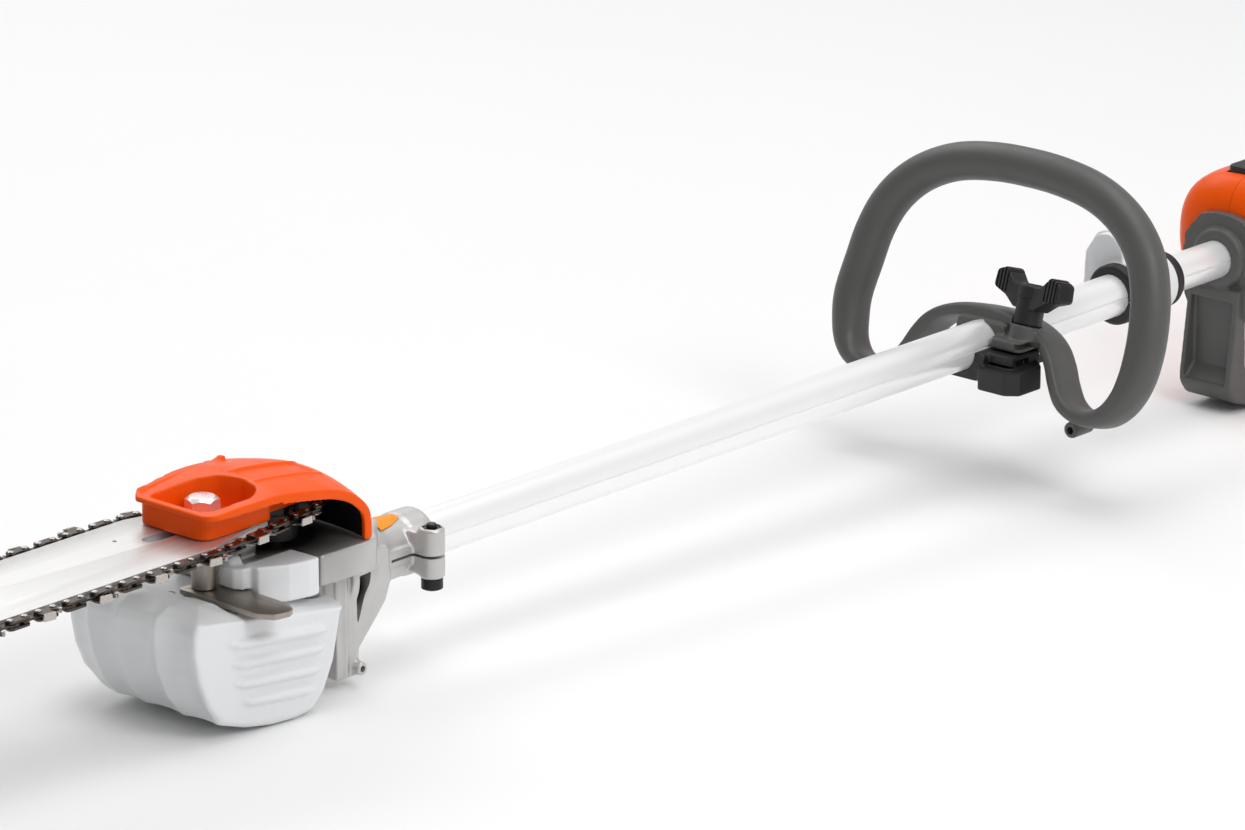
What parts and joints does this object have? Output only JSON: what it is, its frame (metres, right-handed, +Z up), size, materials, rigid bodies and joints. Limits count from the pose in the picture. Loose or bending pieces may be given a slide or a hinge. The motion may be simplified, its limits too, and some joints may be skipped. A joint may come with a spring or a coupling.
{
  "type": "telescoping pole saw",
  "caption": "Battery pole saw with a guide-bar cutting head, oil tank, two-piece telescoping pole, loop front handle and a rear grip with trigger, keypad and slide-in battery.",
  "frame": {"origin": "on the floor under the middle of the saw's overall box, where the oil tank and the rear foot rest", "axes": "+X from the bar's nose towards the battery, +Y to the user's left, +Z up; the pole climbs 2.6 degrees towards +X"},
  "size_m": [1.619, 0.241, 0.1986],
  "materials": {
    "orange_shell": "glossy moulded",
    "grey_plastic": "satin, fine grain",
    "dark_plastic": "satin, fine grain",
    "white_plastic": "smooth, slightly milky",
    "soft_grip": "matt soft grip",
    "casting": "fine die-cast, lightly painted",
    "tube": "brushed anodised",
    "steel": "bare, ground",
    "bright_steel": "polished",
    "bar_steel": "fine satin, ground along its length",
    "chain_steel": "blued, oily",
    "black_screw": "black oxide",
    "copper": "lacquered winding",
    "board": "solder-resist green"
  },
  "bodies": {
    "drive_unit": {"inner_tube": "tube", "rear_shaft_bush": "white_plastic", "left_shell": "orange_shell", "right_shell": "orange_shell", "hand_guard": "grey_plastic", "foot": "soft_grip", "keypad": "dark_plastic", "grip_pad": "soft_grip", "lockout_pin": "steel", "trigger_pin": "steel", "trigger_switch": "dark_plastic", "motor_can": "grey_plastic", "stator": "copper", "motor_bearing": "bright_steel", "shaft_bearing": "bright_steel", "controller_board": "board"},
    "rear_drive": {"motor_rotor": "steel", "rear_shaft": "steel"},
    "power_button": {"power_button": "grey_plastic"},
    "mode_button": {"mode_button": "grey_plastic"},
    "lockout": {"lockout": "dark_plastic"},
    "trigger": {"trigger": "orange_shell"},
    "battery": {"battery_pack": "dark_plastic"},
    "battery_latch": {"battery_latch": "orange_shell"},
    "boom": {"outer_tube": "tube", "front_shaft_bush": "white_plastic", "gear_housing": "casting", "gear_cover": "casting", "upper_bearing": "bright_steel", "lower_bearing": "bright_steel", "pinion_bearing": "bright_steel", "guide_bar": "bar_steel", "saw_chain": "chain_steel", "chain_cover": "orange_shell", "bar_bolt": "black_screw", "hook_spacer": "steel", "hook_plate": "steel", "tension_pin": "steel", "pinch_screw": "black_screw", "pinch_nut": "black_screw", "oil_pump": "black_screw", "oil_tank": "white_plastic", "front_ring": "dark_plastic", "lock_body": "white_plastic", "rear_ring": "dark_plastic", "lever_pin": "steel"},
    "front_drive": {"front_shaft": "steel", "bevel_pinion": "steel"},
    "sprocket_drive": {"spindle": "steel", "bevel_wheel": "steel", "drive_sprocket": "steel"},
    "nose_sprocket": {"nose_sprocket": "steel"},
    "bar_nut": {"bar_nut": "bright_steel"},
    "tension_screw": {"tension_screw": "black_screw"},
    "oil_cap": {"oil_cap": "dark_plastic"},
    "lock_lever": {"lock_lever": "white_plastic"},
    "loop_handle": {"loop_handle": "grey_plastic", "lower_clamp": "grey_plastic", "clamp_bolt": "steel"},
    "clamp_knob": {"clamp_knob": "dark_plastic"}
  },
  "joints": [
    {"name": "telescope", "type": "slide", "parent": "drive_unit", "child": "boom", "axis": [-0.999, 0, -0.0454], "range_m": [0, 0.38]},
    {"name": "motor_spin", "type": "hinge", "parent": "drive_unit", "child": "rear_drive", "pos_m": [0.65314, 0, 0.10938], "axis": [0.999, 0, 0.0454], "continuous": true},
    {"name": "front_shaft_spin", "type": "hinge", "parent": "boom", "child": "front_drive", "pos_m": [-0.40976, 0, 0.06112], "axis": [0.999, 0, 0.0454], "continuous": true},
    {"name": "sprocket_spin", "type": "hinge", "parent": "boom", "child": "sprocket_drive", "pos_m": [-0.43773, 0, 0.05985], "axis": [-0.0454, 0, 0.999], "continuous": true},
    {"name": "nose_spin", "type": "hinge", "parent": "boom", "child": "nose_sprocket", "pos_m": [-0.76752, 0, 0.09167], "axis": [-0.0454, 0, 0.999], "continuous": true},
    {"name": "bar_nut_turn", "type": "hinge", "parent": "boom", "child": "bar_nut", "pos_m": [-0.49227, 0, 0.11443], "axis": [-0.0454, 0, 0.999], "range_deg": [0, 360]},
    {"name": "tension_screw_turn", "type": "hinge", "parent": "boom", "child": "tension_screw", "pos_m": [-0.5063, 0.0072, 0.09277], "axis": [0.999, 0, 0.0454], "range_deg": [-180, 180]},
    {"name": "oil_cap_turn", "type": "hinge", "parent": "boom", "child": "oil_cap", "pos_m": [-0.49395, 0.062, 0.04128], "axis": [0, 1, 0], "range_deg": [0, 360]},
    {"name": "lock_lever_open", "type": "hinge", "parent": "boom", "child": "lock_lever", "pos_m": [0.30632, 0.012, 0.11966], "axis": [0.999, 0, 0.0454], "range_deg": [0, 100]},
    {"name": "handle_slide", "type": "slide", "parent": "boom", "child": "loop_handle", "axis": [0.999, 0, 0.0454], "range_m": [-0.05, 0.04]},
    {"name": "clamp_knob_turn", "type": "hinge", "parent": "loop_handle", "child": "clamp_knob", "pos_m": [0.16628, -0.029, 0.11731], "axis": [0.2436, 0, 0.9699], "range_deg": [0, 360]},
    {"name": "trigger_pull", "type": "hinge", "parent": "drive_unit", "child": "trigger", "pos_m": [0.49803, 0, 0.08632], "axis": [0, -1, 0], "range_deg": [0, 12], "stiffness_Nm_per_rad": 0.2, "springref_deg": -11.46},
    {"name": "lockout_press", "type": "hinge", "parent": "drive_unit", "child": "lockout", "pos_m": [0.5265, 0, 0.12065], "axis": [0, -1, 0], "range_deg": [0, 14], "stiffness_Nm_per_rad": 0.15, "springref_deg": -11.46},
    {"name": "power_press", "type": "slide", "parent": "drive_unit", "child": "power_button", "axis": [0.0454, 0, -0.999], "range_m": [0, 0.001], "stiffness_N_per_m": 300, "springref_m": -0.001},
    {"name": "mode_press", "type": "slide", "parent": "drive_unit", "child": "mode_button", "axis": [0.0454, 0, -0.999], "range_m": [0, 0.001], "stiffness_N_per_m": 300, "springref_m": -0.001},
    {"name": "battery_slide", "type": "slide", "parent": "drive_unit", "child": "battery", "axis": [0.999, 0, 0.0454], "range_m": [0, 0.11]},
    {"name": "latch_press", "type": "slide", "parent": "battery", "child": "battery_latch", "axis": [-0.999, 0, -0.0454], "range_m": [0, 0.0022], "stiffness_N_per_m": 500, "springref_m": -0.001}
  ],
  "couplings": [
    {"joint": "front_shaft_spin", "follows": "motor_spin", "ratio": 1},
    {"joint": "sprocket_spin", "follows": "motor_spin", "ratio": 0.66667},
    {"joint": "nose_spin", "follows": "motor_spin", "ratio": 0.51852}
  ]
}
